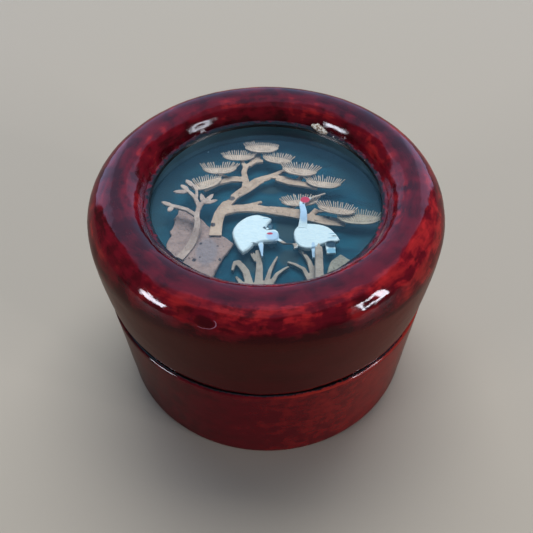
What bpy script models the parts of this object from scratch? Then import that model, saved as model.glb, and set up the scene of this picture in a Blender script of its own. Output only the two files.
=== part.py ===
"""Lacquered trinket pot with a lift-off lid and a carved cork landscape under its glass.

Metres, +Z up. The pot stands on z = 0 around the Z axis, and its picture reads upright from -Y.
"""
import math

import bmesh
import bpy
from mathutils import Vector

# Driving sizes: fits and facets
STEPS = 64                  # facets around a turned piece
FIT_GAP = 0.0003            # between pieces that touch in the real pot
EDGE_ROUND = 0.0010         # worn edges of the foot and of both sides of the seam

# Driving sizes: the pot's base
BASE_HEIGHT = 0.0308        # foot to the rim that the lid rests on
RIM_R = 0.0415
FOOT_TAPER = 0.0009         # the foot is this much narrower than the rim
FLOOR_THICK = 0.0040
RIM_LEDGE = 0.0036          # width of the rim outside the collar
COLLAR_WALL = 0.0020
COLLAR_HEIGHT = 0.0050      # how far the collar reaches up into the lid
FLOOR_COVE = 0.0025         # round where the wall meets the floor

# Driving sizes: the lid, a straight side that swells into a fat ring
LID_INSET = 0.0004          # the lid's lower edge lies this much inside the rim
LID_SWELL = 0.0014          # lower edge to the widest level
SIDE_HEIGHT = 0.0192        # lower edge to the widest level
RING_RISE = 0.0093          # widest level to the crest
OPENING_R = 0.0286
SLOPE_WIDTH = 0.0062        # crest to the opening
SLOPE_DROP = 0.0052
SLOPE_ANGLE = 72.0          # how steeply the slope meets the opening, in degrees
LIP_HEIGHT = 0.0012         # the opening's black lip, down to the glass
LIP_SET = 0.0015            # the lip leans in by this much
REBATE_SET = 0.0018         # the rebate behind the lip holds glass and board

# Driving sizes: what the rebate holds, from the glass down
GLASS_THICK = 0.0017
GLASS_CLEAR = 0.0006        # glass to the highest cork
TUFT_THICK = 0.0006
BRANCH_THICK = 0.0008
ROCK_THICK = 0.0010
BIRD_THICK = 0.0012
BOARD_THICK = 0.0016
CEILING_STEP = 0.0004       # the board lies this far above the lid's flat ceiling

# Worked out from them
COLLAR_R = RIM_R - RIM_LEDGE
INNER_R = COLLAR_R - COLLAR_WALL
BORE_R = COLLAR_R + FIT_GAP
LID_Z = BASE_HEIGHT + FIT_GAP
LID_R = RIM_R - LID_INSET
WIDEST_R = LID_R + LID_SWELL
WIDEST_Z = LID_Z + SIDE_HEIGHT
CREST_R = OPENING_R + SLOPE_WIDTH
CREST_Z = WIDEST_Z + RING_RISE
LIP_Z = CREST_Z - SLOPE_DROP
SEAT_Z = LIP_Z - LIP_HEIGHT
REBATE_R = OPENING_R + REBATE_SET
PANE_R = REBATE_R - FIT_GAP
GLASS_Z = SEAT_Z - FIT_GAP - GLASS_THICK

# The cork lies in four layers over the board: rock, branches, low tufts and high tufts
HIGH_Z = GLASS_Z - GLASS_CLEAR - TUFT_THICK
TUFT_Z = HIGH_Z - FIT_GAP - TUFT_THICK
BRANCH_Z = TUFT_Z - FIT_GAP - BRANCH_THICK
ROCK_Z = BRANCH_Z - FIT_GAP - ROCK_THICK
BOARD_Z = ROCK_Z - FIT_GAP
CEILING_Z = BOARD_Z - BOARD_THICK - CEILING_STEP

# The picture is drawn on paper where the opening's radius is this many units
DRAWN_R = 103
UNIT = OPENING_R / DRAWN_R
PICTURE_RIGHT = 0.0002      # the picture was glued in a little off the middle
PICTURE_DOWN = 0.0009


def arc(centre_r, centre_z, radius, start, end, count=3):
    """Points of an arc in the (r, z) plane, its angles in degrees."""
    angles = [math.radians(start + (end - start) * i / (count - 1)) for i in range(count)]
    return [(centre_r + radius * math.cos(a), centre_z + radius * math.sin(a)) for a in angles]


def smooth(points, per_span=2, closed=False):
    """Points of a soft curve that passes through the given ones."""
    given = [Vector(p) for p in points]
    count = len(given)

    def at(i):
        return given[i % count] if closed else given[min(max(i, 0), count - 1)]

    curve = []
    for i in range(count if closed else count - 1):
        a, b, c, d = (at(i + k) for k in (-1, 0, 1, 2))
        for t in (k / per_span for k in range(per_span)):
            curve.append((b * 2 + (c - a) * t + (a * 2 - b * 5 + c * 4 - d) * t ** 2
                          + (b * 3 - a - c * 3 + d) * t ** 3) / 2)
    return curve if closed else curve + [given[-1]]


def stroke(points, start, end):
    """Outline of a stroke along a soft curve, from one width to the other; an end of 0 is a point."""
    line = smooth(points)
    last = len(line) - 1
    left, right = [], []
    for i, point in enumerate(line):
        along = (line[min(i + 1, last)] - line[max(i - 1, 0)]).normalized()
        side = Vector((-along.y, along.x)) * (start + (end - start) * i / last) / 2
        left.append(point + side)
        right.append(point - side)
    return right[:-1] + left[::-1] if end == 0 else right + left[::-1]


def leaf(base, tip, width):
    """Outline of a small pointed leaf."""
    base, tip = Vector(base), Vector(tip)
    along = tip - base
    side = Vector((-along.y, along.x)).normalized() * width / 2
    swell = ((0.0, 0.5), (0.35, 1.0), (0.75, 0.8))
    lower = [base + along * t - side * w for t, w in swell]
    upper = [base + along * t + side * w for t, w in swell[::-1]]
    return lower + [tip] + upper


def tuft(centre, half_width, drop, rise, tilt, needles):
    """Outline of a cloud of pine needles: a bowed underside and a fringe of upright needles."""
    turn = math.radians(tilt)

    def place(x, y):
        return Vector((centre[0] + x * math.cos(turn) - y * math.sin(turn),
                       centre[1] + x * math.sin(turn) + y * math.cos(turn)))

    bow = [math.pi * k / 6 for k in range(1, 6)]
    outline = [place(-half_width * math.cos(a), -drop * math.sin(a)) for a in bow]
    pitch = 2 * half_width / needles
    for i in range(needles):
        x = half_width - pitch * (i + 0.5)
        dome = math.sqrt(1 - (x / (half_width + pitch)) ** 2)
        reach = rise * dome * (0.7 + 0.18 * math.sin(2.4 * i))
        outline.append(place(x + pitch / 2, rise * 0.35 * dome))
        outline.append(place(x + 0.12 * x * rise / half_width, reach + rise * 0.15))
    outline.append(place(-half_width, rise * 0.35 * math.sqrt(1 - (half_width / (half_width + pitch)) ** 2)))
    return outline


def turned(outline):
    """A solid of revolution from an outline of (r, z) points, closed on itself or by the axis."""
    solid = bmesh.new()
    points = [solid.verts.new((r, 0, z)) for r, z in outline]
    edges = [solid.edges.new(pair) for pair in zip(points, points[1:])]
    if outline[0][0] > 0:
        edges.append(solid.edges.new((points[-1], points[0])))
    bmesh.ops.spin(solid, geom=points + edges, cent=(0, 0, 0), axis=(0, 0, 1), angle=2 * math.pi,
                   steps=STEPS, use_merge=True)
    bmesh.ops.remove_doubles(solid, verts=solid.verts, dist=1e-6)
    return solid


def slab(outline, low, high, rounded=0.0):
    """A flat solid from a drawn outline between two heights, with its upper edge sloped if rounded."""
    solid = bmesh.new()
    face = solid.faces.new([solid.verts.new((p[0] * UNIT + PICTURE_RIGHT, p[1] * UNIT - PICTURE_DOWN, low))
                            for p in outline])
    grown = bmesh.ops.extrude_face_region(solid, geom=[face])["geom"]
    top = [f for f in grown if isinstance(f, bmesh.types.BMFace)]
    bmesh.ops.translate(solid, vec=(0, 0, high - low - rounded), verts=top[0].verts[:])
    if rounded:
        bmesh.ops.recalc_face_normals(solid, faces=solid.faces)
        bmesh.ops.inset_individual(solid, faces=top, thickness=rounded, depth=rounded)
    return solid


def finish(name, solids, material):
    """One named node from one or more overlapping solids, joined by exact unions."""
    made = []
    for solid in solids:
        bmesh.ops.recalc_face_normals(solid, faces=solid.faces)
        mesh = bpy.data.meshes.new(name)
        solid.to_mesh(mesh)
        solid.free()
        made.append(bpy.data.objects.new(name, mesh))
        bpy.context.scene.collection.objects.link(made[-1])
    node, others = made[0], made[1:]
    bpy.context.view_layer.objects.active = node
    for other in others:
        union = node.modifiers.new("union", "BOOLEAN")
        union.operation = "UNION"
        union.solver = "EXACT"
        union.object = other
        bpy.ops.object.modifier_apply(modifier=union.name)
        bpy.data.objects.remove(other)
    node.name = name
    node.data.name = name
    node.data.materials.clear()
    node.data.materials.append(material)
    return node


def finish_material(name, colour, roughness, transmission=0.0):
    """A plain Principled material in the piece's colour."""
    material = bpy.data.materials.new(name)
    material.use_nodes = True
    shader = material.node_tree.nodes["Principled BSDF"]
    shader.inputs["Base Color"].default_value = (*colour, 1)
    shader.inputs["Roughness"].default_value = roughness
    shader.inputs["Metallic"].default_value = 0
    shader.inputs["Transmission Weight"].default_value = transmission
    return material


def base():
    """The turned pot: flat foot, straight wall, rim, and the collar that keeps the lid in place."""
    foot_r = RIM_R - FOOT_TAPER
    top = BASE_HEIGHT + COLLAR_HEIGHT
    outline = [(0, 0)]
    outline += arc(foot_r - EDGE_ROUND, EDGE_ROUND, EDGE_ROUND, -90, 0)
    outline += arc(RIM_R - EDGE_ROUND, BASE_HEIGHT - EDGE_ROUND, EDGE_ROUND, 0, 90)
    outline += [(COLLAR_R, BASE_HEIGHT), (COLLAR_R, top), (INNER_R, top)]
    outline += arc(INNER_R - FLOOR_COVE, FLOOR_THICK + FLOOR_COVE, FLOOR_COVE, 0, -90)
    outline += [(0, FLOOR_THICK)]
    finish("base", [turned(outline)], finish_material("base_lacquer", (0.16, 0.010, 0.008), 0.12))


def lid():
    """The turned lid: side wall, fat ring, slope to the opening, black lip and rebate, bored below."""
    outline = arc(LID_R - EDGE_ROUND, LID_Z + EDGE_ROUND, EDGE_ROUND, -90, 0)
    for share in (0.3, 0.6):
        z = LID_Z + EDGE_ROUND + (WIDEST_Z - LID_Z - EDGE_ROUND) * share
        outline.append((WIDEST_R - LID_SWELL * (1 - share) ** 2, z))
    half_ring = WIDEST_R - CREST_R
    for angle in (math.pi / 2 * k / 6 for k in range(7)):
        outline.append((CREST_R + half_ring * math.cos(angle), WIDEST_Z + RING_RISE * math.sin(angle)))
    # the slope leaves the crest level and reaches the opening at its own angle
    lean = SLOPE_DROP / math.tan(math.radians(SLOPE_ANGLE))
    ends = Vector((CREST_R, CREST_Z)), Vector((OPENING_R + lean, CREST_Z)), Vector((OPENING_R, LIP_Z))
    for t in (0.2, 0.4, 0.6, 0.8, 1.0):
        point = ends[0] * (1 - t) ** 2 + ends[1] * 2 * t * (1 - t) + ends[2] * t ** 2
        outline.append(tuple(point))
    outline += [(OPENING_R - LIP_SET, SEAT_Z), (REBATE_R, SEAT_Z), (REBATE_R, CEILING_Z)]
    outline += [(BORE_R, CEILING_Z), (BORE_R, LID_Z)]
    finish("lid", [turned(outline)], finish_material("lid_lacquer", (0.22, 0.012, 0.010), 0.10))


def glass_and_board():
    """The pane under the lip, and below it the painted board that is also the lid's ceiling."""
    glass = finish_material("clear_glass", (0.95, 0.98, 0.97), 0.02, 1.0)
    teal = finish_material("teal_paint", (0.012, 0.075, 0.095), 0.55)
    for name, low, thick, material in (("glass_pane", GLASS_Z, GLASS_THICK, glass),
                                       ("picture_board", BOARD_Z - BOARD_THICK, BOARD_THICK, teal)):
        finish(name, [turned([(0, low), (PANE_R, low), (PANE_R, low + thick), (0, low + thick)])], material)


def rocks():
    """Two flakes of cork bark that lie on the board, their lower ends out of sight under the ring."""
    # a torn left edge, then the far shoulder, a spur under the pine's foot, the right side and the hidden end
    torn = [(-79.2 - 0.7 * k + 1.3 * math.sin(k * 2.3), 6 - 5.2 * k) for k in range(1, 9)]
    left = [(-78.5, 9), *torn, (-84, -48), (-73, -64), (-58, -77), (-46, -76), (-37, -51.5), (-27, -34.5),
            (-38, -25.5), (-42, -13.5), (-49, -15.5), (-57, -5), (-66, 4.5)]
    right = [(46, -81.5), (48, -66.5), (51, -56.5), (55, -51.5), (61, -47.5), (68, -53.5), (70, -65.5),
             (60, -76.5)]
    bark = finish_material("rock_cork", (0.30, 0.20, 0.15), 0.9)
    for name, outline in (("rock_left", left), ("rock_right", right)):
        finish(name, [slab(outline, ROCK_Z, ROCK_Z + ROCK_THICK, ROCK_THICK * 0.3)], bark)


def pine():
    """The pine: trunk, a boss where it bends, and its branches and spurs, cut as one piece."""
    strokes = [
        (((-44, -27), (-43, -11), (-39, 3), (-33, 13), (-26, 22), (-17, 32)), 11, 6.5),
        (((-40, -1), (-27, 3.5), (-7, 3), (7, -0.5), (22, -4), (37, -8), (51, -12.5), (68, -15)), 9.5, 6),
        (((-22, 26), (-10, 40), (4, 46), (17, 54)), 6.5, 3.5),
        (((-20, 27), (-19, 41), (-21, 52), (-18, 63)), 6.5, 4.5),
        (((-16, 61), (-12, 70), (-8, 80)), 5, 3.5),
        (((-19, 58), (-24, 70)), 4.5, 3.5),
        (((-18, 39), (-27, 44), (-36, 45), (-45, 51)), 5, 3),
        (((-26, 43), (-33, 43), (-44, 40), (-57, 35)), 5.5, 3.5),
        (((2, 46), (18, 43), (33, 36), (53, 34)), 5, 4),
        (((28, 40), (36, 48)), 4, 3),
        (((-22, 5), (-4, 12)), 6, 2.5),
        (((17, -2), (23, 5), (29, 11)), 4.5, 3),
        (((37, -7), (44, -1), (53, 0)), 4, 3),
        (((-26, 18), (-12, 32), (4, 42)), 7, 3),
    ]
    solids = []
    for i, (points, start, end) in enumerate(strokes):
        # each stroke is shaved a little thinner than the one before, as a carver lays twig on branch
        shave = BRANCH_THICK * 0.02 * i
        solids.append(slab(stroke(points, start, end), BRANCH_Z + shave, BRANCH_Z + BRANCH_THICK - shave))
    finish("pine", solids, finish_material("pine_cork", (0.52, 0.34, 0.19), 0.85))


def tufts():
    """The ten clouds of needles on the branches; a high one stands on a small block on its branch."""
    # centre, half width, drop of the underside, rise of the fringe, tilt in degrees, block of a high one
    placed = [
        ((-3.5, 81.0), 18.5, 9, 7.0, -4, (-8, 81)),
        ((-27.0, 73.0), 17.0, 8, 6.5, -3, None),
        ((11.0, 69.0), 16.5, 9, 8.5, -13, None),
        ((-43.0, 52.2), 18.0, 11, 6.5, 2, (-44, 53)),
        ((31.5, 47.8), 19.0, 10, 9.0, -11, (32, 49)),
        ((-53.5, 35.0), 18.5, 11.5, 8.0, 17, None),
        ((52.5, 35.4), 18.0, 10, 7.0, -6, None),
        ((29.5, 8.6), 18.0, 7.5, 9.5, 2, None),
        ((60.0, -4.0), 18.0, 7, 7.0, -12, (51, -2)),
        ((79.5, -12.0), 21.0, 9.5, 6.0, -3, None),
    ]
    cork = finish_material("needle_cork", (0.62, 0.44, 0.25), 0.85)
    for number, (centre, half_width, drop, rise, tilt, block) in enumerate(placed, 1):
        low = HIGH_Z if block else TUFT_Z
        solids = [slab(tuft(centre, half_width, drop, rise, tilt, needles=14), low, low + TUFT_THICK)]
        if block:
            ends = (block[0] - 3.5, block[1]), (block[0] + 3.5, block[1])
            solids.append(slab(stroke(ends, 3.5, 3.5), TUFT_Z, low + TUFT_THICK * 0.5))
        finish("pine_tuft_%02d" % number, solids, cork)


def shrub():
    """The leafy shrub in front of the rock: a stem that stands on it, three arms and eight leaves."""
    tall = [(((-72, -52), (-63, -36), (-59, -22), (-60, -12)), 6.5, 4)]
    raised = [
        (((-60, -16), (-59, -2), (-55, 6)), 4, 3),
        (((-59, -13), (-69, -4), (-83, 1)), 3.6, 3.2),
        (((-58, -3), (-63, 11), (-71, 21)), 3.6, 2.6),
        (((-62, 8), (-62, 19), (-66, 28)), 2.2, 2.0),
    ]
    leaves = [((-82, 1), (-92, 6)), ((-82, 0), (-85, -6)), ((-70, 19), (-83, 19)), ((-70, 21), (-77, 28)),
              ((-66, 26), (-73, 35)), ((-55, 5), (-58, 16)), ((-54, 5), (-47, 16)), ((-54, 4), (-43, 8))]
    top = HIGH_Z + TUFT_THICK
    solids = [slab(stroke(*s), BRANCH_Z, top) for s in tall]
    solids += [slab(stroke(*s), HIGH_Z + 0.03 * TUFT_THICK * (i + 1), top - 0.03 * TUFT_THICK * (i + 1))
               for i, s in enumerate(raised)]
    solids += [slab(leaf(a, b, 4.4), HIGH_Z + 0.03 * TUFT_THICK * (i + 6), top - 0.03 * TUFT_THICK * (i + 6))
               for i, (a, b) in enumerate(leaves)]
    finish("shrub", solids, finish_material("shrub_cork", (0.58, 0.40, 0.24), 0.85))


def cranes():
    """Two cranes, each cut as one piece: the left one bends to feed, the right one stands upright."""
    paint = finish_material("crane_paint", (0.80, 0.84, 0.88), 0.5)
    low, top, step = BRANCH_Z, BRANCH_Z + BIRD_THICK, BIRD_THICK / 20
    body = [(-29.5, -27), (-26, -17), (-18, -8.7), (-9, -5.6), (-3, -7.6), (4.2, -10.8), (0.5, -17.6),
            (-1, -24), (7, -23.4), (10.2, -29.5), (7.5, -37), (-4, -37.6), (-12, -41.6), (-20.4, -49.8),
            (-26.5, -38.6)]
    block, bill = [(-18, -25.6), (-4, -23.6)], [(7, -32.6), (14, -38.6), (21, -44.6)]
    leg = [(-5.3, -32.6), (-4.9, -53)]
    finish("crane_left", [
        slab(smooth(body, closed=True), low, top, BIRD_THICK * 0.3),
        slab(leaf(*block, 9), ROCK_Z, top - 10 * step),
        slab(stroke(bill, 3.4, 1.6), low + 5 * step, top - 6 * step),
        slab(stroke(leg, 4, 2.4), low + step, top - 7 * step)], paint)

    # the upright crane's neck crosses over the branch, and its head and bill lie over a tuft
    body = [(22.6, -27.5), (25.5, -20.6), (32, -17.2), (40, -17.2), (49, -19.6), (55, -24.6), (61, -36.6),
            (54, -38.6), (46.5, -40.6), (39, -44.6), (32, -45.6), (26, -42.4), (23, -35.5)]
    block, tail, leg = [(34, -27.6), (50, -28.6)], [(52.3, -35.6), (52.7, -50.6)], [(37, -38.6), (36.9, -55)]
    lower_neck = [(30.2, -22.6), (31.2, -14.6), (31.7, -6.6)]
    upper_neck = [(31.7, -7.8), (31, -2), (30.7, 2.4), (31.8, 6.4)]
    head = [(33.6 + 4.2 * math.cos(a), 6.5 + 4.2 * math.sin(a)) for a in (math.pi / 4 * k for k in range(8))]
    bill = [(36, 8), (52, 15)]
    over, nick = HIGH_Z, TUFT_THICK / 20
    finish("crane_right", [
        slab(smooth(body, closed=True), low, top, BIRD_THICK * 0.3),
        slab(leaf(*block, 9), ROCK_Z, top - 10 * step),
        slab(stroke(lower_neck, 7.8, 5.6), low + BRANCH_THICK + FIT_GAP, over + 16 * nick),
        slab(stroke(upper_neck, 5.6, 4.4), over, over + 18 * nick),
        slab(head, over + nick, over + 20 * nick),
        slab(stroke(bill, 2.8, 1.4), over + 4 * nick, over + 16 * nick),
        slab(stroke(tail, 9, 7.4), low + 2 * step, top - 7 * step),
        slab(stroke(leg, 2.8, 2), low + step, top - 8 * step)], paint)


def reeds():
    """Two clumps of broad blades in front, each cut as one piece from its root out of sight."""
    left = [
        (((-13.5, -84.5), (-17.5, -65.5), (-24.5, -55.5)), 7, 5),
        (((-22.5, -56.5), (-26.5, -55.5), (-28.5, -64.5)), 5, 2),
        (((-7.5, -85.5), (-6.5, -59.5), (-8.5, -42.5)), 8, 3),
        (((-2.5, -84.5), (2.5, -63.5), (8.5, -49.5)), 5, 1.5),
        (((0.5, -84.5), (7.5, -68.5), (17.5, -60.5)), 5, 1.5),
        (((-16.5, -83.5), (-25.5, -70.5)), 6, 2),
        (((-8.5, -54), (-11.5, -48.5), (-12.8, -45)), 4.5, 3),
        (((-22, -86), (4, -86)), 8, 8),
    ]
    right = [
        (((35.5, -83.5), (29.5, -63.5), (16.5, -56)), 5, 2),
        (((38.5, -83.5), (34.5, -55.5), (26.8, -41.5)), 6, 2),
        (((31, -85), (42, -85)), 7, 7),
    ]
    cork = finish_material("reed_cork", (0.66, 0.49, 0.30), 0.85)

    def cut(strokes):
        shaves = (ROCK_THICK * 0.02 * i for i in range(len(strokes)))
        return [slab(stroke(*s), ROCK_Z + c, ROCK_Z + ROCK_THICK - c) for s, c in zip(strokes, shaves)]

    finish("reeds_left", cut(left), cork)
    # the broad blade on the right is thicker, and its tip leans over the crane's body
    blade_top = BRANCH_Z + BIRD_THICK + FIT_GAP + TUFT_THICK
    broad, broad_tip = ((40.5, -83.5), (41.9, -57), (42.1, -47)), ((41.9, -51), (42.2, -47), (42.4, -43.4))
    finish("reeds_right", cut(right) + [
        slab(stroke(broad, 7, 5.8), ROCK_Z + 0.04 * ROCK_THICK, blade_top),
        slab(stroke(broad_tip, 5.2, 1.2), blade_top - TUFT_THICK, blade_top - 0.1 * TUFT_THICK)], cork)


for old in list(bpy.data.objects):
    bpy.data.objects.remove(old)
base()
lid()
glass_and_board()
rocks()
pine()
tufts()
shrub()
cranes()
reeds()
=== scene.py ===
"""Looks of a lacquered trinket pot with a carved cork landscape under its glass. Metres, +Z up."""

import math
import random

import bpy
from mathutils import Matrix, Vector


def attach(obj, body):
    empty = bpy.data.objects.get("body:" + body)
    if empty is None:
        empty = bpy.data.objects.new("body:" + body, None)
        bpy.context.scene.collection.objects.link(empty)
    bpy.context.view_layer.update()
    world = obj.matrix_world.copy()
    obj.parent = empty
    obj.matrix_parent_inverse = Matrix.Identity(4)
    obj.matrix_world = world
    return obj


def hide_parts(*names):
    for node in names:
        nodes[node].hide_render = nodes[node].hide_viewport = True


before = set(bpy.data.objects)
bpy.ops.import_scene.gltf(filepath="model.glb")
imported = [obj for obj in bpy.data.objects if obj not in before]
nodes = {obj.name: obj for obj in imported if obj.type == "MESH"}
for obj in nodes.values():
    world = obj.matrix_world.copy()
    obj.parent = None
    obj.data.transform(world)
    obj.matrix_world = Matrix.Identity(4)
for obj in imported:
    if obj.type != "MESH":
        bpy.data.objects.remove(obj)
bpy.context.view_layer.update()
bpy.context.scene.view_settings.view_transform = "Standard"
MM = 0.001

# Camera: it looks down at the pot from the front at about 50 degrees, from two hands' breadths away, and is
# turned a little to one side. Its lens gives the perspective of a picture taken from close by.
CAMERA_AT = Vector((0, -105.9, 151.45)) * MM
CAMERA_PITCH = math.radians(49.49)
CAMERA_ROLL = math.radians(-0.57)
SENSOR_WIDTH = 36  # in mm
FOCAL_LENGTH, PICTURE_WIDTH = 600, 533  # in pixels
bpy.ops.object.select_all(action="DESELECT")
bpy.ops.object.camera_add()
camera = bpy.context.object
camera.name = "camera"
camera.matrix_world = (Matrix.Translation(CAMERA_AT) @ Matrix.Rotation(math.pi / 2 - CAMERA_PITCH, 4, "X")
                       @ Matrix.Rotation(CAMERA_ROLL, 4, "Z"))
camera.data.sensor_width = SENSOR_WIDTH
camera.data.lens = SENSOR_WIDTH * FOCAL_LENGTH / PICTURE_WIDTH
camera.data.clip_start = 0.01
bpy.context.scene.camera = camera


# Floor and studio light: a plain pale floor, a wide soft light panel behind the pot, a bright ceiling, dim
# walls, a large lamp overhead, and two small ones low on the left and right that draw the ring's highlights.
def add(tree, kind, links=None, **settings):
    """A shader node with its settings; links gives each input a value or the socket that feeds it."""
    made = tree.nodes.new(kind)
    for name, value in settings.items():
        setattr(made, name, value)
    for name, value in (links or {}).items():
        if isinstance(value, bpy.types.NodeSocket):
            tree.links.new(value, made.inputs[name])
        else:
            made.inputs[name].default_value = value
    return made


def calc(tree, operation, a, b=0.0):
    """One sum on two numbers."""
    return add(tree, "ShaderNodeMath", {0: a, 1: b}, operation=operation).outputs[0]


def times(tree, value, factor):
    """A value times a factor, which may change over the surface too."""
    return calc(tree, "MULTIPLY", value, factor)


def plus(tree, value, *more):
    """Two or more values together."""
    for other in more:
        value = calc(tree, "ADD", value, other)
    return value


def fade(tree, value, start, end):
    """0 before start, 1 after end and soft between them; start may be the larger of the two."""
    return add(tree, "ShaderNodeMapRange", {"Value": value, "From Min": start, "From Max": end},
               interpolation_type="SMOOTHSTEP").outputs[0]


def both(tree, *masks):
    """Where all of these masks are."""
    found = masks[0]
    for mask in masks[1:]:
        found = times(tree, found, mask)
    return found


def mix(tree, amount, low, high):
    """One colour over another."""
    links = {0: amount, 6: low, 7: high}
    return add(tree, "ShaderNodeMix", links, data_type="RGBA").outputs[2]


def rgb(red, green, blue):
    """An opaque colour."""
    return (red, green, blue, 1.0)


PANEL = rgb(0.24, 0.58, 0.96)
PANEL_SIDES = rgb(0.85, 0.95, 1.55)
WALLS = rgb(0.075, 0.07, 0.07)
CEILING_IN_FRONT = rgb(0.24, 0.24, 0.33)
BACKDROP = rgb(0.72, 0.73, 0.74)
# the soft edges of the lights, in degrees round from the back and up from the horizon
PANEL_LEFT, PANEL_RIGHT, PANEL_BOTTOM = (-53, -51), (48, 46), (-3, 0)
SIDES_LEFT, SIDES_RIGHT, SIDES_BOTTOM, SIDES_TOP = (-25, -29), (25, 29), (-16, -13), (41, 38)
CEILING_EDGE, FRONT_SIDE, FRONT_TOP = (46, 50), (80, 100), (78, 70)
world = bpy.data.worlds.new("studio")
bpy.context.scene.world = world
world.use_nodes = True
sky = world.node_tree
way = add(sky, "ShaderNodeSeparateXYZ", {0: add(sky, "ShaderNodeTexCoord").outputs["Generated"]}).outputs
turn = calc(sky, "DEGREES", calc(sky, "ARCTAN2", way[0], way[1]))
height = calc(sky, "DEGREES", calc(sky, "ARCSINE", way[2]))
panel = both(sky, fade(sky, turn, *PANEL_LEFT), fade(sky, turn, *PANEL_RIGHT))
behind = both(sky, panel, fade(sky, height, *PANEL_BOTTOM))
outer = calc(sky, "MAXIMUM", fade(sky, turn, *SIDES_LEFT), fade(sky, turn, *SIDES_RIGHT))
outer = both(sky, panel, outer, fade(sky, height, *SIDES_BOTTOM), fade(sky, height, *SIDES_TOP))
ahead = both(sky, fade(sky, calc(sky, "ABSOLUTE", turn), *FRONT_SIDE), fade(sky, height, *FRONT_TOP))
ceiling = mix(sky, ahead, PANEL, CEILING_IN_FRONT)
around = mix(sky, outer, mix(sky, behind, WALLS, PANEL), PANEL_SIDES)
around = mix(sky, fade(sky, height, *CEILING_EDGE), around, ceiling)
studio = sky.nodes["Background"]
sky.links.new(around, studio.inputs["Color"])
plain = add(sky, "ShaderNodeBackground", {"Color": BACKDROP})
seen = add(sky, "ShaderNodeLightPath").outputs["Is Camera Ray"]
shown = add(sky, "ShaderNodeMixShader", {0: seen, 1: studio.outputs[0], 2: plain.outputs[0]})
sky.links.new(shown.outputs[0], sky.nodes["World Output"].inputs["Surface"])

AIM = Vector((0, 0, 0.045))


def lamp(name, turn, height, distance, size, radiance, shift=(0, 0), mirrored=True):
    """A flat soft lamp that faces the pot, by its direction in degrees; shift moves it in its own plane."""
    turn, height = math.radians(turn), math.radians(height)
    out = Vector((math.sin(turn) * math.cos(height), math.cos(turn) * math.cos(height), math.sin(height)))
    facing = out.to_track_quat("Z", "Y").to_matrix()
    bpy.ops.object.light_add(type="AREA", location=AIM + out * distance + facing @ Vector((*shift, 0)))
    light = bpy.context.object
    light.name = name
    light.rotation_mode = "QUATERNION"
    light.rotation_quaternion = facing.to_quaternion()
    light.data.shape = "RECTANGLE"
    light.data.size, light.data.size_y = size
    strongest = max(radiance)
    light.data.color = [part / strongest for part in radiance]
    light.data.energy = strongest * math.pi * size[0] * size[1]
    light.visible_camera = False
    light.visible_glossy = light.visible_transmission = mirrored


LAMP_FAR = 1.3
SMALL_LAMP = (24, 25, 28)
lamp("lamp_over", 8, 62, LAMP_FAR, (1.1, 0.9), (7.9, 8.4, 8.9), mirrored=False)
lamp("lamp_left", -116.8, 12.5, LAMP_FAR, (0.39, 0.20), SMALL_LAMP)
# the right lamp is a frame of four strips, whose highlights are hollow
STRIP = 0.075
for strip, (across, up) in enumerate(((0, 0.17), (0, -0.17), (-0.16, 0), (0.16, 0))):
    size = (0.38, STRIP) if up else (STRIP, 0.28)
    lamp("lamp_right_%d" % strip, 121.5, 17, LAMP_FAR, size, SMALL_LAMP, (across, up))
bpy.context.scene.cycles.caustics_reflective = False
bpy.context.scene.cycles.caustics_refractive = False

bpy.ops.mesh.primitive_plane_add(size=6)
floor = bpy.context.object
floor.name = "floor"
paper = bpy.data.materials.new("pale_floor")
paper.use_nodes = True
shader = paper.node_tree.nodes["Principled BSDF"]
rays = add(paper.node_tree, "ShaderNodeLightPath").outputs
# the floor throws warm light on the pot and is darker in its gloss than it looks by itself
FLOOR_LIGHT = rgb(0.235, 0.190, 0.140)
FLOOR_IN_GLOSS = rgb(0.125, 0.085, 0.055)
FLOOR_SEEN = rgb(0.31, 0.255, 0.195)
tone = mix(paper.node_tree, rays["Is Glossy Ray"], FLOOR_LIGHT, FLOOR_IN_GLOSS)
tone = mix(paper.node_tree, rays["Is Camera Ray"], tone, FLOOR_SEEN)
paper.node_tree.links.new(tone, shader.inputs["Base Color"])
shader.inputs["Roughness"].default_value = 0.6
shader.inputs["Specular IOR Level"].default_value = 0.3
floor.data.materials.append(paper)


# Base: the pot itself, turned from wood and brushed with many coats of red lacquer. Its rim carries the lid,
# and a black collar inside the rim keeps the lid in place. The inside and the foot are black.
def arc(r, z, radius, start, end, steps):
    """Points of an arc in the (r, z) plane in mm, its angles in degrees."""
    angles = (math.radians(start + (end - start) * i / steps) for i in range(steps + 1))
    return [(r + radius * math.cos(a), z + radius * math.sin(a)) for a in angles]


def runs(points, longest):
    """The same outline with its straight runs cut into short ones."""
    outline = [points[0]]
    for a, b in zip(points, points[1:]):
        steps = max(1, math.ceil(math.dist(a, b) / longest))
        for i in range(1, steps + 1):
            outline.append((a[0] + (b[0] - a[0]) * i / steps, a[1] + (b[1] - a[1]) * i / steps))
    return outline


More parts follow.
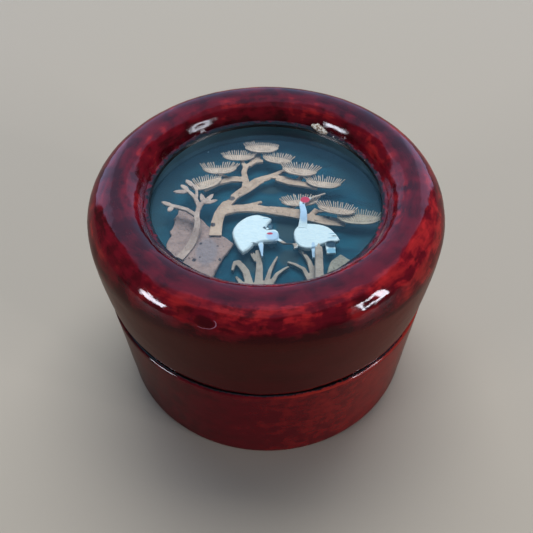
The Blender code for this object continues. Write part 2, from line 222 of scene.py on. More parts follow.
def turned(name, outline, around):
    """A turned piece: its outline in mm is drawn point by point, then spun round the pot's axis."""
    bpy.ops.object.select_all(action="DESELECT")
    bpy.ops.mesh.primitive_plane_add(size=MM)
    piece = bpy.context.object
    piece.name = piece.data.name = name
    bpy.ops.object.mode_set(mode="EDIT")
    bpy.ops.mesh.merge(type="CENTER")
    bpy.ops.transform.translate(value=(outline[0][0] * MM, 0, outline[0][1] * MM))
    for here, there in zip(outline, outline[1:]):
        move = ((there[0] - here[0]) * MM, 0, (there[1] - here[1]) * MM)
        bpy.ops.mesh.extrude_vertices_move(TRANSFORM_OT_translate={"value": move})
    bpy.ops.mesh.select_all(action="SELECT")
    bpy.ops.mesh.spin(steps=around, angle=2 * math.pi, center=(0, 0, 0), axis=(0, 0, 1))
    bpy.ops.mesh.select_all(action="SELECT")
    bpy.ops.mesh.remove_doubles(threshold=2e-6)
    bpy.ops.mesh.normals_make_consistent(inside=False)
    bpy.ops.object.mode_set(mode="OBJECT")
    return piece


def ready(piece):
    """This piece alone is selected and active."""
    bpy.ops.object.select_all(action="DESELECT")
    piece.select_set(True)
    bpy.context.view_layer.objects.active = piece


def weigh(piece, name, weight):
    """A vertex group whose weights come from a rule on each point, given in mm."""
    weights = piece.vertex_groups.new(name=name)
    for point in piece.data.vertices:
        amount = weight(point.co / MM)
        if amount > 0:
            weights.add([point.index], min(amount, 1), "REPLACE")
    return name


def relief(piece, grain, depth, weights="", level=1.0, direction="NORMAL"):
    """Uneven relief cut into a piece, or an even lift with grain 0; grain and depth in mm. At level 1 it
    only goes inwards, and at level 0 only outwards."""
    ready(piece)
    uneven = piece.modifiers.new("relief", "DISPLACE")
    if grain:
        texture = bpy.data.textures.new(piece.name + "_relief", "CLOUDS")
        texture.noise_scale = grain * MM
        texture.noise_depth = 2
        uneven.texture = texture
        uneven.texture_coords = "LOCAL"
    uneven.strength = depth * MM
    uneven.mid_level = level
    uneven.direction = direction
    uneven.vertex_group = weights
    bpy.ops.object.modifier_apply(modifier=uneven.name)


def group(name, inputs, outputs):
    """An empty shader node group, with the sockets of its two ends."""
    tree = bpy.data.node_groups.new(name, "ShaderNodeTree")
    for title, value in inputs.items():
        kind = "NodeSocketFloat"
        if isinstance(value, tuple):
            kind = "NodeSocketColor" if len(value) == 4 else "NodeSocketVector"
        tree.interface.new_socket(name=title, in_out="INPUT", socket_type=kind).default_value = value
    for title in outputs:
        kind = "NodeSocketColor" if title == "Color" else "NodeSocketFloat"
        tree.interface.new_socket(name=title, in_out="OUTPUT", socket_type=kind)
    return tree, tree.nodes.new("NodeGroupInput").outputs, tree.nodes.new("NodeGroupOutput").inputs


def noise(tree, vector, size, detail=2.0, distortion=0.0, w=None):
    """Soft noise; size is in mm where the vector is a place, and w makes it run on in a fourth direction."""
    links = {"Vector": vector, "Scale": 1 / (size * MM), "Detail": detail, "Distortion": distortion}
    dimensions = "3D"
    if w is not None:
        links["W"] = w
        dimensions = "4D"
    return add(tree, "ShaderNodeTexNoise", links, noise_dimensions=dimensions).outputs["Fac"]


def fade_mm(tree, value, start, end):
    """The same as fade, from start to end in mm."""
    return fade(tree, value, start * MM, end * MM)


def wobble(tree, place, size, reach, detail=2.0, distortion=0.0):
    """Noise that goes up and down about 0, its size and its whole reach in mm."""
    centred = calc(tree, "SUBTRACT", noise(tree, place, size, detail, distortion), 0.5)
    return times(tree, centred, reach * MM)


def vector_calc(tree, operation, a, b):
    """One sum on two vectors, or a dot product, or a vector times a number with SCALE."""
    second = 3 if operation == "SCALE" else 1
    made = add(tree, "ShaderNodeVectorMath", {0: a, second: b}, operation=operation)
    return made.outputs["Value" if operation == "DOT_PRODUCT" else "Vector"]


def axes(tree, place):
    """The x, y and z of a place."""
    return add(tree, "ShaderNodeSeparateXYZ", {0: place}).outputs


def how_far(tree, vector):
    """The length of a vector."""
    return add(tree, "ShaderNodeVectorMath", {0: vector}, operation="LENGTH").outputs["Value"]


def blend(tree, amount, low, high):
    """One number that goes over into another."""
    return add(tree, "ShaderNodeMix", {0: amount, 2: low, 3: high}).outputs[0]


def put(tree, socket, end):
    """Joins an output to an input."""
    tree.links.new(socket, end)


# the dark last coats, the body, thinner coats, the first red where it shows, the lid's side in painted shade
# and reflection, and the black
LACQUER_DEEP = rgb(0.030, 0.0012, 0.0028)
LACQUER_BODY = rgb(0.092, 0.0022, 0.0065)
LACQUER_BRIGHT = rgb(0.240, 0.0100, 0.0110)
LACQUER_GLOW = rgb(0.370, 0.0140, 0.0160)
SIDE_SHADE_BROWN = rgb(0.046, 0.0042, 0.0038)
BLACK_LACQUER = rgb(0.004, 0.0035, 0.0035)

# one coat of brushed lacquer, streaky round the ring and on top, and calm and even on the sides
coats = {"Deep": LACQUER_DEEP, "Body": LACQUER_BODY, "Bright": LACQUER_BRIGHT, "Seed": 0.0}
lacquer, given, out = group("brushed_lacquer", coats, ("Color", "Roughness", "Height"))
place = add(lacquer, "ShaderNodeTexCoord").outputs["Object"]
flat = vector_calc(lacquer, "MULTIPLY", place, (1, 1, 0))
radius = how_far(lacquer, flat)
facing = vector_calc(lacquer, "SCALE", flat, calc(lacquer, "DIVIDE", 1.0, radius))
aside, deep, level = axes(lacquer, place)
waver = wobble(lacquer, place, 11, 3.5)
radius = plus(lacquer, radius, waver)
wavy_level = calc(lacquer, "SUBTRACT", level, waver)


def brushed(along, across, detail):
    """Brush marks that run round the pot: along is their number of turns, across how close they lie."""
    rings = add(lacquer, "ShaderNodeCombineXYZ", {2: times(lacquer, radius, across)}).outputs[0]
    where = vector_calc(lacquer, "ADD", vector_calc(lacquer, "SCALE", facing, along), rings)
    w = plus(lacquer, times(lacquer, wavy_level, across), given["Seed"])
    return noise(lacquer, where, 1000, detail, w=w)


patches = fade(lacquer, brushed(2.2, 190, 2), 0.34, 0.66)
streaks = fade(lacquer, brushed(4.2, 760, 3), 0.30, 0.70)
brush = brushed(15, 2600, 2)
mottle = fade(lacquer, noise(lacquer, place, 2.6, 5), 0.30, 0.70)
cloud = fade(lacquer, noise(lacquer, place, 4.5, 5, 0.3), 0.34, 0.66)
tone = plus(lacquer, times(lacquer, patches, 0.30), times(lacquer, streaks, 0.18),
            times(lacquer, brush, 0.22), times(lacquer, cloud, 0.30))
calm = plus(lacquer, times(lacquer, mottle, 0.17), times(lacquer, tone, 0.14))
# the ring is brightest on its shoulder and duller on top; below it, painted shade and reflection darken it
# the border of this painted shade dips to left and right
SHADE_BORDER_DIP = 3.5
dip = times(lacquer, times(lacquer, aside, aside), SHADE_BORDER_DIP)
shoulder = plus(lacquer, level, dip)
crest = fade_mm(lacquer, level, 59.0, 59.5)
inner_front = both(lacquer, fade_mm(lacquer, radius, 34.5, 33.5), fade_mm(lacquer, deep, -5, -20))
crest = calc(lacquer, "MAXIMUM", crest, inner_front)
dull = times(lacquer, plus(lacquer, tone, 0.06), 0.5)
tone = blend(lacquer, crest, tone, dull)
tone = calc(lacquer, "SUBTRACT", tone, times(lacquer, fade_mm(lacquer, shoulder, 58.6, 57.2), 0.10))
tone = calc(lacquer, "SUBTRACT", tone, times(lacquer, fade_mm(lacquer, shoulder, 56.4, 54.2), 0.30))
busy = fade_mm(lacquer, plus(lacquer, level, waver), 36, 42)
tone = blend(lacquer, busy, plus(lacquer, calm, 0.18), tone)
# painted light: brighter towards the front right and at the base's right; a painted sheen brightens the back
lit_front_right = vector_calc(lacquer, "DOT_PRODUCT", place, (0.6, -0.8, 0))
low = both(lacquer, fade_mm(lacquer, level, 34, 31), fade_mm(lacquer, aside, -20, 36))
tone = plus(lacquer, tone, times(lacquer, fade_mm(lacquer, lit_front_right, 0, 38), 0.20), times(lacquer, low, 0.28),
            times(lacquer, fade_mm(lacquer, deep, 5, 35), 0.12))
color = mix(lacquer, fade(lacquer, tone, 0.22, 0.56), given["Deep"], given["Body"])
color = mix(lacquer, fade(lacquer, tone, 0.56, 0.90), color, given["Bright"])
above = both(lacquer, fade_mm(lacquer, shoulder, 54.6, 56.4), fade_mm(lacquer, level, 59.4, 58.9))
smudge = times(lacquer, noise(lacquer, place, 3.4, 5, 0.2), 0.8)
smudge = fade(lacquer, plus(lacquer, smudge, brushed(5, 420, 3)), 0.92, 1.16)
color = mix(lacquer, times(lacquer, both(lacquer, smudge, above), 0.75), color, given["Deep"])
# spots where the first red shows, only where the front right is painted lit
spots = times(lacquer, noise(lacquer, place, 2.0, 5, 0.2), 0.6)
spots = fade(lacquer, plus(lacquer, spots, brushed(9, 760, 3)), 0.78, 1.02)
spots = both(lacquer, spots, above, fade_mm(lacquer, lit_front_right, 6, 36))
color = mix(lacquer, times(lacquer, spots, 0.6), color, LACQUER_GLOW)
put(lacquer, color, out["Color"])
worn = fade(lacquer, noise(lacquer, place, 2.5, 4), 0.45, 0.8)
put(lacquer, plus(lacquer, times(lacquer, worn, 0.10), 0.05), out["Roughness"])
rise = plus(lacquer, times(lacquer, brush, 0.5), times(lacquer, streaks, 0.5))
put(lacquer, rise, out["Height"])


def surface(name):
    """A new material: its node tree, its Principled shader and its Object coordinates."""
    material = bpy.data.materials.new(name)
    material.use_nodes = True
    tree = material.node_tree
    return material, tree, tree.nodes["Principled BSDF"], add(tree, "ShaderNodeTexCoord").outputs["Object"]


def coated(tree, shader, color, rough, height, depth):
    """Gives a surface its colour, its roughness and its fine relief, whose depth is in mm."""
    bump = add(tree, "ShaderNodeBump", {"Height": height, "Distance": depth * MM, "Strength": 1.0})
    for name, socket in (("Base Color", color), ("Roughness", rough), ("Normal", bump.outputs[0])):
        put(tree, socket, shader.inputs[name])


def red_lacquer(name, seed, coats, crinkled=None):
    """Red lacquer outside; each further coat is a rule for where it lies, its colour and its roughness."""
    material, tree, shader, place = surface(name)
    paint = add(tree, "ShaderNodeGroup", node_tree=lacquer)
    paint.inputs["Seed"].default_value = seed
    radius = how_far(tree, vector_calc(tree, "MULTIPLY", place, (1, 1, 0)))
    level = axes(tree, place)
    ragged = wobble(tree, place, 0.9, 1.4, 4, 0.6)
    color, rough = paint.outputs["Color"], paint.outputs["Roughness"]
    for where, shade, roughness in coats:
        covered = where(tree, radius, level, ragged)
        color = mix(tree, covered, color, shade)
        rough = blend(tree, covered, rough, roughness)
    shader.inputs["IOR"].default_value = 1.42
    height = paint.outputs["Height"]
    if crinkled:
        skin = times(tree, noise(tree, place, 0.32, 2), crinkled(tree, radius, level, ragged))
        height = plus(tree, height, skin)
    coated(tree, shader, color, rough, height, 0.02)
    return material


def black_in_base(tree, radius, level, ragged):
    """Inside, on the collar and under the foot the pot is black."""
    inside = both(tree, fade_mm(tree, plus(tree, radius, ragged), 38.6, 38.2),
                  fade_mm(tree, level[2], 2, 3))
    foot = fade_mm(tree, plus(tree, level[2], ragged), 0.25, 0.05)
    return calc(tree, "MAXIMUM", inside, foot)


def painted_rim_highlight(tree, radius, level, ragged):
    """Painted highlight: just below the seam the rim's edge catches the light in a bright line, most at the
    front right.
    """
    height = plus(tree, level[2], times(tree, ragged, 0.4))
    edge = both(tree, fade_mm(tree, height, 29.95, 30.1), fade_mm(tree, height, 30.6, 30.5),
                fade_mm(tree, radius, 40.6, 40.9))
    return both(tree, edge, fade_mm(tree, level[0], -4, 12))


def painted_seam_shade(tree, radius, level, ragged):
    """Painted shade: where base and lid meet, the edges are painted dark."""
    height = plus(tree, level[2], times(tree, ragged, 0.35))
    return both(tree, fade_mm(tree, height, 30.5, 30.65), fade_mm(tree, height, 31.4, 31.28))


# sizes of the turned outline in mm
FOOT_R, RIM_R, RIM_Z = 40.6, 41.5, 30.8
COLLAR_OUTSIDE, COLLAR_INSIDE, COLLAR_TOP = 37.9, 35.9, 35.8
FLOOR_Z = 4.0
EDGE = 1.0
CORNER = 2.5
LONGEST_RUN = 1.2
SHARP = math.radians(40)  # an edge above this angle stays sharp
outline = runs([(0, 0), *arc(FOOT_R - EDGE, EDGE, EDGE, -90, 0, 5),
                *arc(RIM_R - EDGE, RIM_Z - EDGE, EDGE, 0, 90, 6), (COLLAR_OUTSIDE, RIM_Z),
                (COLLAR_OUTSIDE, COLLAR_TOP), (COLLAR_INSIDE, COLLAR_TOP),
                *arc(COLLAR_INSIDE - CORNER, FLOOR_Z + CORNER, CORNER, 0, -90, 6), (0, FLOOR_Z)], LONGEST_RUN)
pot = turned("base_turned", outline, around=288)
outside = weigh(pot, "outside", lambda p: min((math.hypot(p.x, p.y) - 39) / 1.5, p.z / 2))
relief(pot, grain=9, depth=0.16, weights=outside)
relief(pot, grain=2.2, depth=0.05, weights=outside)
bpy.ops.object.shade_smooth_by_angle(angle=SHARP)
pot.data.materials.append(red_lacquer("base_red_lacquer", 3.0, [
    (painted_rim_highlight, rgb(0.30, 0.020, 0.014), 0.1), (painted_seam_shade, BLACK_LACQUER, 0.12),
    (black_in_base, BLACK_LACQUER, 0.15)]))
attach(pot, "root")
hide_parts("base")

# Lid: turned in one piece, a straight side that swells into a fat ring round the opening, lacquered as the
# base is. The lip over the glass is black and uneven, and below it a rebate holds glass and board.
# Sizes are in mm; OUTSIDE_R and LOWER_EDGE_TOP bound the part of the lower edge that is uneven.
LID_EDGE_R, LID_EDGE_Z = 41.1, 31.1
WIDEST_R, WIDEST_Z = 42.5, 50.3
CREST_R, CREST_Z = 34.8, 59.6
LIP_R, LIP_Z = 27.5, 53.2
REBATE_R = 30.15
HOLLOW_R, CEILING_Z = 38.2, 44.4
SLOPE_BEND, SLOPE_END = (30.29, CREST_Z), (28.6, 54.4)
LIP_ROUNDING = [(28.05, 54.15), (27.6, 53.95)]
OUTSIDE_R = 38.9
LOWER_EDGE_TOP = 33.5
SIDE_STEPS, SLOPE_STEPS = 22, 12
side, ring, slope = [], [], []
for i in range(1, SIDE_STEPS + 1):
    z = LID_EDGE_Z + EDGE + (WIDEST_Z - LID_EDGE_Z - EDGE) * i / SIDE_STEPS
    narrower = (WIDEST_R - LID_EDGE_R) * (1 - (z - LID_EDGE_Z) / (WIDEST_Z - LID_EDGE_Z)) ** 2
    side.append((WIDEST_R - narrower, z))
    angle = math.pi / (2 * SIDE_STEPS) * i
    ring.append((CREST_R + (WIDEST_R - CREST_R) * math.cos(angle),
                 WIDEST_Z + (CREST_Z - WIDEST_Z) * math.sin(angle)))
for i in range(1, SLOPE_STEPS + 1):
    t = i / SLOPE_STEPS
    curve = zip((CREST_R, CREST_Z), SLOPE_BEND, SLOPE_END)
    slope.append(tuple(a * (1 - t) ** 2 + b * 2 * t * (1 - t) + c * t * t for a, b, c in curve))
outline = runs([*arc(LID_EDGE_R - EDGE, LID_EDGE_Z + EDGE, EDGE, -90, 0, 6), *side, *ring, *slope,
                *LIP_ROUNDING, (LIP_R, LIP_Z), (REBATE_R, LIP_Z), (REBATE_R, CEILING_Z),
                (HOLLOW_R, CEILING_Z), (HOLLOW_R, LID_EDGE_Z), (LID_EDGE_R - EDGE, LID_EDGE_Z)], LONGEST_RUN)
cover = turned("lid_turned", outline, around=320)
outside = weigh(cover, "outside", lambda p: (math.hypot(p.x, p.y) - OUTSIDE_R) / 1.2 if p.z < 53.3 else 1)
relief(cover, grain=8, depth=0.16, weights=outside)
relief(cover, grain=2.0, depth=0.05, weights=outside)


def near_lip(p):
    """How close a point of the lid is to the middle of its lip."""
    return 1.2 - abs(p.z - 54.0) / 0.8 if math.hypot(p.x, p.y) < 29.3 and p.z > 53.1 else 0


relief(cover, grain=0.9, depth=0.30, weights=weigh(cover, "lip", near_lip), level=0.6)


def round_the_lid(p, start, soft):
    """How close a point of the lid's lower edge is to an angle in degrees."""
    if p.z > LOWER_EDGE_TOP or math.hypot(p.x, p.y) < OUTSIDE_R:
        return 0
    turn = math.degrees(math.atan2(p.y, p.x)) - start
    return math.exp(-(turn / soft) ** 2) * min(1, (LOWER_EDGE_TOP - p.z) / 1.5)


# the lower edge stands open at the front left and a little at the right, and is nearly shut between
for stretch, start, soft, up in (("open_left", -130, 22, 0.50), ("open_right", -64, 12, 0.32),
                                 ("shut", -90, 13, -0.27)):
    edge = weigh(cover, stretch, lambda p: round_the_lid(p, start, soft))
    relief(cover, 0, up, edge, level=0.0, direction="Z")

slope_inside = weigh(cover, "slope", lambda p: min((34 - math.hypot(p.x, p.y)) / 2, (p.z - 54.6) / 0.6)
                     if p.z > 54.6 else 0)
relief(cover, grain=1.3, depth=0.09, weights=slope_inside, level=0.5)
BLISTER = Vector((-12.2, -38.6, 56.4))


def in_blister(p):
    """A long flat blister in the lacquer, steep at its edge."""
    away = p - BLISTER
    if away.length > 4:
        return 0
    across = away.x * 0.953 - away.y * 0.302
    reach = math.hypot(across / 2.5, (away.z - across * 0.2) / 1.05)
    return 1 / (1 + math.exp((reach - 1) * 9))


relief(cover, 0, 0.16, weigh(cover, "blister", in_blister), level=0.0)

# small nubs in the lacquer: place, reach and height in mm
NUBS = [((30.3, -2.1, 57.7), 0.8, 0.25), ((-17.1, -27.3, 59.0), 0.8, 0.15), ((-6.5, -35.4, 59.5), 0.8, 0.15),
        ((-9.9, -38.9, 57.0), 0.7, 0.12)]
for at, reach, tall in NUBS:
    nub = weigh(cover, "nub", lambda p: math.exp(-(p - Vector(at)).length_squared / (reach / 2) ** 2)
                if (p - Vector(at)).length < reach * 1.5 else 0)
    relief(cover, 0, tall, nub, level=0.0)
bpy.ops.object.shade_smooth_by_angle(angle=SHARP)


def painted_side_shade(tree, radius, level, ragged):
    """Painted shade and reflection: the lid's side is browner and darker than its ring; the border dips to
    the left and right.
    """
    dip = times(tree, times(tree, level[0], level[0]), SHADE_BORDER_DIP)
    height = plus(tree, level[2], dip, times(tree, ragged, 0.9))
    return times(tree, fade_mm(tree, height, 53.8, 52.9), 0.8)


def painted_light_right(tree, radius, level, ragged):
    """Painted light: towards the right the side is redder."""
    right = fade_mm(tree, level[0], 4, 34)
    return both(tree, right, painted_side_shade(tree, radius, level, ragged))


def from_blister(tree):
    """Every point's place round the middle of the blister, squashed so that its edge is a circle."""
    place = add(tree, "ShaderNodeTexCoord").outputs["Object"]
    return vector_calc(tree, "MULTIPLY", vector_calc(tree, "SUBTRACT", place, BLISTER * MM), (1, 0.6, 2.1))


def dark_blister(tree, radius, level, ragged):
    """The lacquer lies thick and dark in the blister."""
    away = how_far(tree, from_blister(tree))
    away = plus(tree, away, times(tree, ragged, 0.6))
    return times(tree, fade_mm(tree, away, 2.5, 1.7), 0.8)


def black_lip(tree, radius, level, ragged):
    """The black lip is widest at the back and narrow at the sides."""
    edge = plus(tree, times(tree, fade_mm(tree, level[1], 2, 24), 0.1 * MM), 54.05 * MM)
    below = calc(tree, "SUBTRACT", plus(tree, level[2], ragged), edge)
    return both(tree, fade_mm(tree, below, 0.12, -0.12), fade_mm(tree, radius, 29.7, 29.4))


def painted_blister_highlight(tree, radius, level, ragged):
    """Painted highlight: a narrow light line runs round the lower right of the blister, along its raised
    edge.
    """
    mark = from_blister(tree)
    away = plus(tree, how_far(tree, mark), times(tree, ragged, 0.25))
    line = both(tree, fade_mm(tree, away, 2.27, 2.37), fade_mm(tree, away, 2.55, 2.43))
    below = vector_calc(tree, "DOT_PRODUCT", mark, (0.7, 0, -0.7))
    return times(tree, both(tree, line, fade_mm(tree, below, 0.2, 1.0)), 0.55)


def slope_and_lip(tree, radius, level, ragged):
    """The brush could not smooth the lacquer on the slope down to the glass."""
    slope = both(tree, fade_mm(tree, radius, 32.0, 31.0), fade_mm(tree, level[2], 53.3, 53.4))
    return times(tree, slope, 0.8)


def black_inside(tree, radius, level, ragged):
    """Below the lip the lid is black inside."""
    return both(tree, fade_mm(tree, radius, 38.6, 38.4), fade_mm(tree, level[2], 53.4, 53.2))


def painted_rebate(tree, radius, level, ragged):
    """The wall round the picture is painted with the board."""
    return both(tree, fade_mm(tree, radius, 31.2, 30.8), fade_mm(tree, radius, 29.8, 30.0),
                fade_mm(tree, plus(tree, level[2], ragged), 53.1, 52.9))


cover.data.materials.append(red_lacquer("lid_red_lacquer", 11.0, [
    (painted_side_shade, SIDE_SHADE_BROWN, 0.09), (painted_light_right, rgb(0.110, 0.0060, 0.0060), 0.12),
    (dark_blister, LACQUER_DEEP, 0.05), (painted_blister_highlight, rgb(0.42, 0.22, 0.30), 0.1),
    (painted_seam_shade, BLACK_LACQUER, 0.12), (black_lip, BLACK_LACQUER, 0.32), (black_inside, BLACK_LACQUER, 0.2),
    (painted_rebate, rgb(0.060, 0.125, 0.155), 0.6)], slope_and_lip))
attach(cover, "root")
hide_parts("lid")

# Picture board: a round of thin card painted by hand in teal and brushed unevenly. Towards its edge it is
# greyer, with painted shade of the ring and a painted reflection of the glass. It lies in the lid's rebate,
# and the cork pieces are glued to it.
mark = {"Centre": (0.0, 0.0, 0.0), "Stretch": (1.0, 1.0, 0.0), "Radius": 1.0, "Soft": 0.3}
spot, given, out = group("painted_spot", mark, ("Mask",))
place = add(spot, "ShaderNodeTexCoord").outputs["Object"]
here = vector_calc(spot, "MULTIPLY", vector_calc(spot, "SUBTRACT", place, given["Centre"]), given["Stretch"])
away = plus(spot, how_far(spot, here), wobble(spot, place, 0.5, 0.4, 3))
put(spot, fade(spot, away, plus(spot, given["Radius"], given["Soft"]), given["Radius"]), out["Mask"])


def spotted(tree, color, spots):
    """Painted or burnt spots over a colour; each is (x, y, reach across, reach up) in mm and its colour."""
    for (x, y, across, up), shade in spots:
        mark = add(tree, "ShaderNodeGroup", node_tree=spot)
        mark.inputs["Centre"].default_value = (x * MM, y * MM, 0)
        mark.inputs["Stretch"].default_value = (1, across / up, 0)
        mark.inputs["Radius"].default_value = across * MM * 0.75
        mark.inputs["Soft"].default_value = across * MM * 0.45
        color = mix(tree, mark.outputs[0], color, shade)
    return color


board, tree, shader, place = surface("painted_board")
sweep = noise(tree, vector_calc(tree, "MULTIPLY", place, (1, 2.4, 1)), 9, 4, 0.6)
teal = mix(tree, fade(tree, sweep, 0.35, 0.68), rgb(0.004, 0.030, 0.048), rgb(0.010, 0.068, 0.098))
radius = how_far(tree, vector_calc(tree, "MULTIPLY", place, (1, 1, 0)))
# painted shade and reflection grey the board towards its edge
painted_edge_shade = fade_mm(tree, plus(tree, radius, wobble(tree, place, 8, 12, 3)), 20, 29)
teal = mix(tree, times(tree, painted_edge_shade, 0.6), teal, rgb(0.034, 0.062, 0.066))
specks = fade(tree, noise(tree, place, 0.45, 1), 0.72, 0.77)
teal = mix(tree, times(tree, specks, 0.5), teal, rgb(0.20, 0.22, 0.21))
DULL = rgb(0.026, 0.044, 0.047)
smears = [((1.2, 9.2, 3.2, 1.6), DULL), ((5.0, -4.6, 2.6, 4.4), DULL), ((-3.0, -15.0, 2.4, 3.6), DULL),
          ((5.2, -14.2, 2.4, 2.6), DULL), ((1.3, -9.8, 0.9, 1.2), rgb(0.10, 0.24, 0.31)),
          ((-15.6, 24.6, 0.2, 0.25), rgb(0.4, 0.5, 0.5))]
rough = plus(tree, times(tree, sweep, 0.2), 0.5)
strokes = plus(tree, sweep, noise(tree, place, 0.5, 3))
coated(tree, shader, spotted(tree, teal, smears), rough, strokes, 0.03)
nodes["picture_board"].data.materials[0] = board


# Rocks: two flakes of dark cork bark, torn along one side and pitted. They are glued flat to the board, the
# left one behind the shrub and the right one at the very edge.
def carved(node, voxel, rounds, grain, depth, cuts=(), laid=()):
    """A cut-out from its CAD solid, its edges rounded by the knife and its skin rough; sizes in mm."""
    piece = bpy.data.objects.new(node + "_carved", nodes[node].data.copy())
    piece.data.name = piece.name
    bpy.context.scene.collection.objects.link(piece)
    ready(piece)
    bpy.ops.object.mode_set(mode="EDIT")
    bpy.ops.mesh.select_all(action="SELECT")
    bpy.ops.mesh.remove_doubles(threshold=1e-6)
    bpy.ops.object.mode_set(mode="OBJECT")
    for outline in cuts:
        pared(piece, outline)
    if laid:
        spliced(piece, laid)
    soften(piece, voxel, rounds)
    if depth:
        relief(piece, grain, depth, level=0.7)
    bpy.ops.object.shade_smooth()
    piece.data.materials.clear()
    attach(piece, "root")
    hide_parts(node)
    return piece


def soften(piece, voxel, rounds):
    """One closed skin over all of a piece's parts, then rounded."""
    ready(piece)
    skin = piece.modifiers.new("skin", "REMESH")
    skin.mode = "VOXEL"
    skin.voxel_size = voxel * MM
    bpy.ops.object.modifier_apply(modifier=skin.name)
    if not rounds:
        return
    worn = piece.modifiers.new("worn", "SMOOTH")
    worn.factor = 0.5
    worn.iterations = rounds
    bpy.ops.object.modifier_apply(modifier=worn.name)


shades = {"Light": rgb(0.5, 0.4, 0.3), "Dark": rgb(0.3, 0.2, 0.15), "Pore": rgb(0.09, 0.05, 0.035),
          "Pores": 0.5}
cork, given, out = group("cork", shades, ("Color", "Roughness", "Height"))
place = add(cork, "ShaderNodeTexCoord").outputs["Object"]
cloudy = noise(cork, place, 2.6, 4, 0.5)
grainy = noise(cork, place, 0.55, 3)
tone = plus(cork, times(cork, cloudy, 0.65), times(cork, grainy, 0.35))
color = mix(cork, fade(cork, tone, 0.36, 0.64), given["Light"], given["Dark"])
pore = fade(cork, noise(cork, place, 0.9, 2, 0.8), 0.62, 0.72)
color = mix(cork, times(cork, pore, given["Pores"]), color, given["Pore"])
put(cork, color, out["Color"])
put(cork, plus(cork, times(cork, grainy, 0.2), 0.72), out["Roughness"])
put(cork, calc(cork, "SUBTRACT", grainy, times(cork, pore, 0.8)), out["Height"])


def cork_surface(name, light, dark, pores, spots=(), depth=0.08):
    """Cork between a light and a dark shade, with more or fewer pores, spots, and relief in mm."""
    material, tree, shader, place = surface(name)
    skin = add(tree, "ShaderNodeGroup", {"Light": light, "Dark": dark, "Pores": pores}, node_tree=cork)
    color = spotted(tree, skin.outputs["Color"], spots)
    coated(tree, shader, color, skin.outputs["Roughness"], skin.outputs["Height"], depth)
    return material


SHADE = rgb(0.06, 0.045, 0.045)
GREY_BARK = rgb(0.255, 0.205, 0.205)
bark = cork_surface("bark", rgb(0.36, 0.25, 0.215), rgb(0.275, 0.19, 0.165), 0.5, [
    ((-13.8, -13.0, 2.6, 4.2), GREY_BARK), ((-16.5, -15.6, 0.5, 0.5), SHADE),
    ((-15.3, -10.5, 0.35, 0.35), SHADE), ((-11.3, -11.3, 0.25, 0.3), SHADE),
    ((-10.7, -15.5, 0.3, 0.4), SHADE), ((-15.3, -14.7, 0.2, 0.25), SHADE)], depth=0.14)
olive = cork_surface("olive_bark", rgb(0.31, 0.285, 0.225), rgb(0.22, 0.195, 0.155), 0.5)
for node, skin in (("rock_left", bark), ("rock_right", olive)):
    rock = carved(node, voxel=0.13, rounds=2, grain=1.1, depth=0.35)
    rock.data.materials.append(skin)

# Pine: trunk and branches cut from one sheet of light cork and rounded with a knife. The wood is pared away
# under the middle branch and above the knot, a twig reaches up to the top tuft, and the foot is shaved down.
LAYER_Z = 48.0  # the underside of pine and shrub, in mm
wood = cork_surface("pine_wood", rgb(0.545, 0.400, 0.298), rgb(0.42, 0.297, 0.212), 0.55, [
    ((-8.5, 3.5, 0.9, 0.8), rgb(0.12, 0.09, 0.08)), ((-12.7, -5.0, 0.6, 0.6), SHADE),
    ((14.9, -3.2, 0.45, 0.4), SHADE), ((17.3, -3.0, 0.35, 0.3), SHADE)])


def cut_out(name, outline, low, thick):
    """A flat cut-out: a round blank drawn to an outline and raised to its thickness; all in mm."""
    bpy.ops.object.select_all(action="DESELECT")
    bpy.ops.mesh.primitive_circle_add(vertices=len(outline), radius=MM, fill_type="NGON")
    made = bpy.context.object
    made.name = made.data.name = name
    for point, (x, y) in zip(made.data.vertices, outline):
        point.co = (x * MM, y * MM, low * MM)
    bpy.ops.object.mode_set(mode="EDIT")
    bpy.ops.mesh.select_all(action="SELECT")
    bpy.ops.mesh.extrude_region_move(TRANSFORM_OT_translate={"value": (0, 0, thick * MM)})
    bpy.ops.mesh.select_all(action="SELECT")
    bpy.ops.mesh.normals_make_consistent(inside=False)
    bpy.ops.object.mode_set(mode="OBJECT")
    return made


def pared(piece, outline):
    """Wood cut away inside an outline in mm."""
    knife = cut_out("knife", outline, LAYER_Z - 0.1, 1.0)
    ready(piece)
    cut = piece.modifiers.new("cut", "BOOLEAN")
    cut.operation = "DIFFERENCE"
    cut.object = knife
    bpy.ops.object.modifier_apply(modifier=cut.name)
    bpy.data.objects.remove(knife)


bpy.ops.object.select_all(action="DESELECT")
bpy.ops.mesh.primitive_cube_add(size=MM, location=(0, 0.5 * MM, 0.5 * MM))
blank = bpy.context.object
bpy.ops.object.transform_apply(location=True)


def splinter(foot, tip, wide, narrow, thick, low, lift=0.0):
    """The blank stretched into a tapering splinter from foot to tip, which it may lift; all in mm."""
    along = Vector(tip) - Vector(foot)
    made = bpy.data.objects.new("splinter", blank.data.copy())
    bpy.context.scene.collection.objects.link(made)
    for point in made.data.vertices:
        if point.co.y > 0.5 * MM:
            point.co.x *= narrow / wide
            point.co.z += lift / thick * MM
    made.data.transform(Matrix.Translation((foot[0] * MM, foot[1] * MM, low * MM))
                        @ Matrix.Rotation(math.atan2(along.y, along.x) - math.pi / 2, 4, "Z")
                        @ Matrix.Diagonal((wide, along.length, thick, 1)))
    return made


def spliced(piece, parts):
    """A piece joined with its other parts."""
    ready(piece)
    for part in parts:
        part.select_set(True)
    bpy.ops.object.join()


def eased(t):
    """0 up to 0, 1 from 1 on and soft between them."""
    t = max(0, min(1, t))
    return t * t * (3 - 2 * t)


def shaved(piece, start, end, left_over):
    """A foot that thins towards the board from start to end, in mm along y, to a part of its height."""
    low = LAYER_Z * MM
    for point in piece.data.vertices:
        t = eased((start - point.co.y / MM) / (start - end))
        point.co.z = low + (point.co.z - low) * (1 - t * (1 - left_over)) - 0.2 * t * MM


